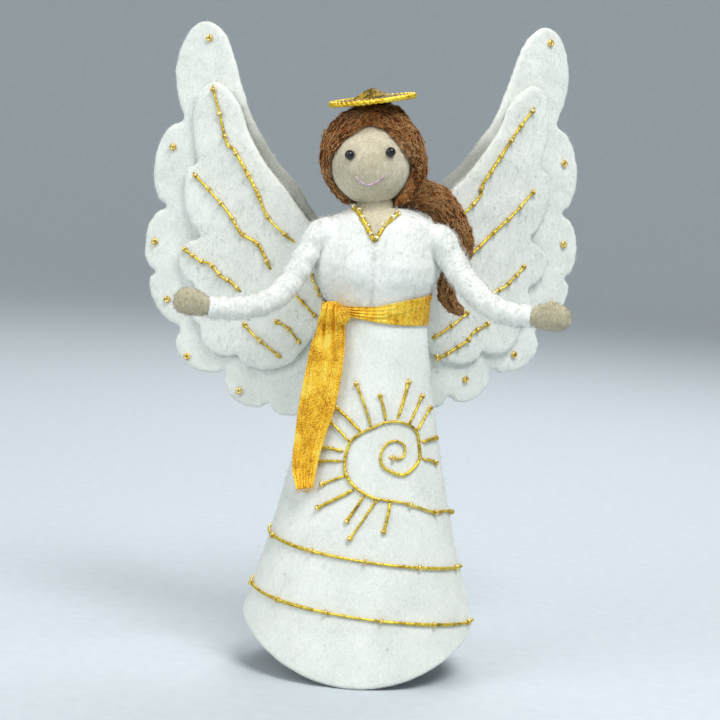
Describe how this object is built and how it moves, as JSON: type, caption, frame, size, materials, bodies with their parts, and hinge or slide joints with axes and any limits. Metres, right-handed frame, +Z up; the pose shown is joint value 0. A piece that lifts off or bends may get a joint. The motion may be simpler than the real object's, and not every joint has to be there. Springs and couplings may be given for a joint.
{
  "type": "angel tree topper",
  "caption": "Handmade angel tree topper with a hollow cone skirt of white felt, layered felt wings that fold, bendable wound arms, a halo, a sash with a hanging end, and gold cord embroidery.",
  "frame": {"origin": "middle of the bodice's flat underside inside the skirt, where the tip of the tree stops", "axes": "+Z up along the skirt's axis, -Y the way the angel faces, +X towards its left hand, at the viewer's right"},
  "size_m": [0.2181, 0.1301, 0.3113],
  "materials": {
    "white_felt": "thick fuzzy wool felt, cool off-white",
    "white_wool": "wound and stuffed white wool",
    "skin_felt": "smooth beige felt",
    "hair_wool": "matte reddish brown wool fibre",
    "gold_cord": "bright gold metallic braided thread",
    "gold_bead": "small glossy gold bead",
    "sash_ribbon": "orange gold woven metallic ribbon",
    "steel_wire": "soft galvanised wire",
    "eye_glass": "glossy black round bead",
    "smile_thread": "thin lilac pink sewing thread"
  },
  "bodies": {
    "figure": {"skirt": "white_felt", "bodice": "white_wool", "neck": "skin_felt", "neck_wire": "steel_wire", "shoulder_wire": "steel_wire", "neckline_trim": "gold_cord", "head": "skin_felt", "left_eye": "eye_glass", "right_eye": "eye_glass", "smile_stitch": "smile_thread", "hair": "hair_wool", "ponytail": "hair_wool", "halo": "gold_cord", "waist_sash": "sash_ribbon", "sash_knot": "sash_ribbon", "sun_embroidery": "gold_cord", "skirt_spiral_cord": "gold_cord"},
    "sash_tail": {"sash_tail": "sash_ribbon"},
    "left_arm": {"left_sleeve": "white_wool", "left_arm_wire": "steel_wire", "left_hand": "skin_felt"},
    "right_arm": {"right_sleeve": "white_wool", "right_arm_wire": "steel_wire", "right_hand": "skin_felt"},
    "left_wing": {"left_wing_back_layer": "white_felt", "left_wing_front_layer": "white_felt", "left_wing_cord_1": "gold_cord", "left_wing_cord_2": "gold_cord", "left_wing_cord_3": "gold_cord", "left_wing_cord_4": "gold_cord", "left_wing_cord_5": "gold_cord", "left_wing_cord_6": "gold_cord", "left_wing_cord_7": "gold_cord", "left_wing_bead_1": "gold_bead", "left_wing_bead_2": "gold_bead", "left_wing_bead_3": "gold_bead", "left_wing_bead_4": "gold_bead", "left_wing_bead_5": "gold_bead", "left_wing_bead_6": "gold_bead"},
    "right_wing": {"right_wing_back_layer": "white_felt", "right_wing_front_layer": "white_felt", "right_wing_cord_1": "gold_cord", "right_wing_cord_2": "gold_cord", "right_wing_cord_3": "gold_cord", "right_wing_cord_4": "gold_cord", "right_wing_cord_5": "gold_cord", "right_wing_bead_1": "gold_bead", "right_wing_bead_2": "gold_bead", "right_wing_bead_3": "gold_bead", "right_wing_bead_4": "gold_bead", "right_wing_bead_5": "gold_bead", "right_wing_bead_6": "gold_bead"}
  },
  "joints": [
    {"name": "left_shoulder_bend", "type": "hinge", "parent": "figure", "child": "left_arm", "pos_m": [-0.0284, -0.004, 0.048], "axis": [0, 1, 0], "range_deg": [0, 80]},
    {"name": "right_shoulder_bend", "type": "hinge", "parent": "figure", "child": "right_arm", "pos_m": [0.0284, -0.004, 0.048], "axis": [0, -1, 0], "range_deg": [0, 80]},
    {"name": "left_wing_fold", "type": "hinge", "parent": "figure", "child": "left_wing", "pos_m": [-0.009, 0.02107, 0.012], "axis": [0, 0, -1], "range_deg": [-10, 60]},
    {"name": "right_wing_fold", "type": "hinge", "parent": "figure", "child": "right_wing", "pos_m": [0.001, 0.02214, 0.012], "axis": [0, 0, 1], "range_deg": [-10, 50]},
    {"name": "sash_tail_swing", "type": "hinge", "parent": "figure", "child": "sash_tail", "pos_m": [-0.0198, -0.0218, 0.0073], "axis": [-0.8776, 0.4794, 0], "range_deg": [0, 60]}
  ]
}
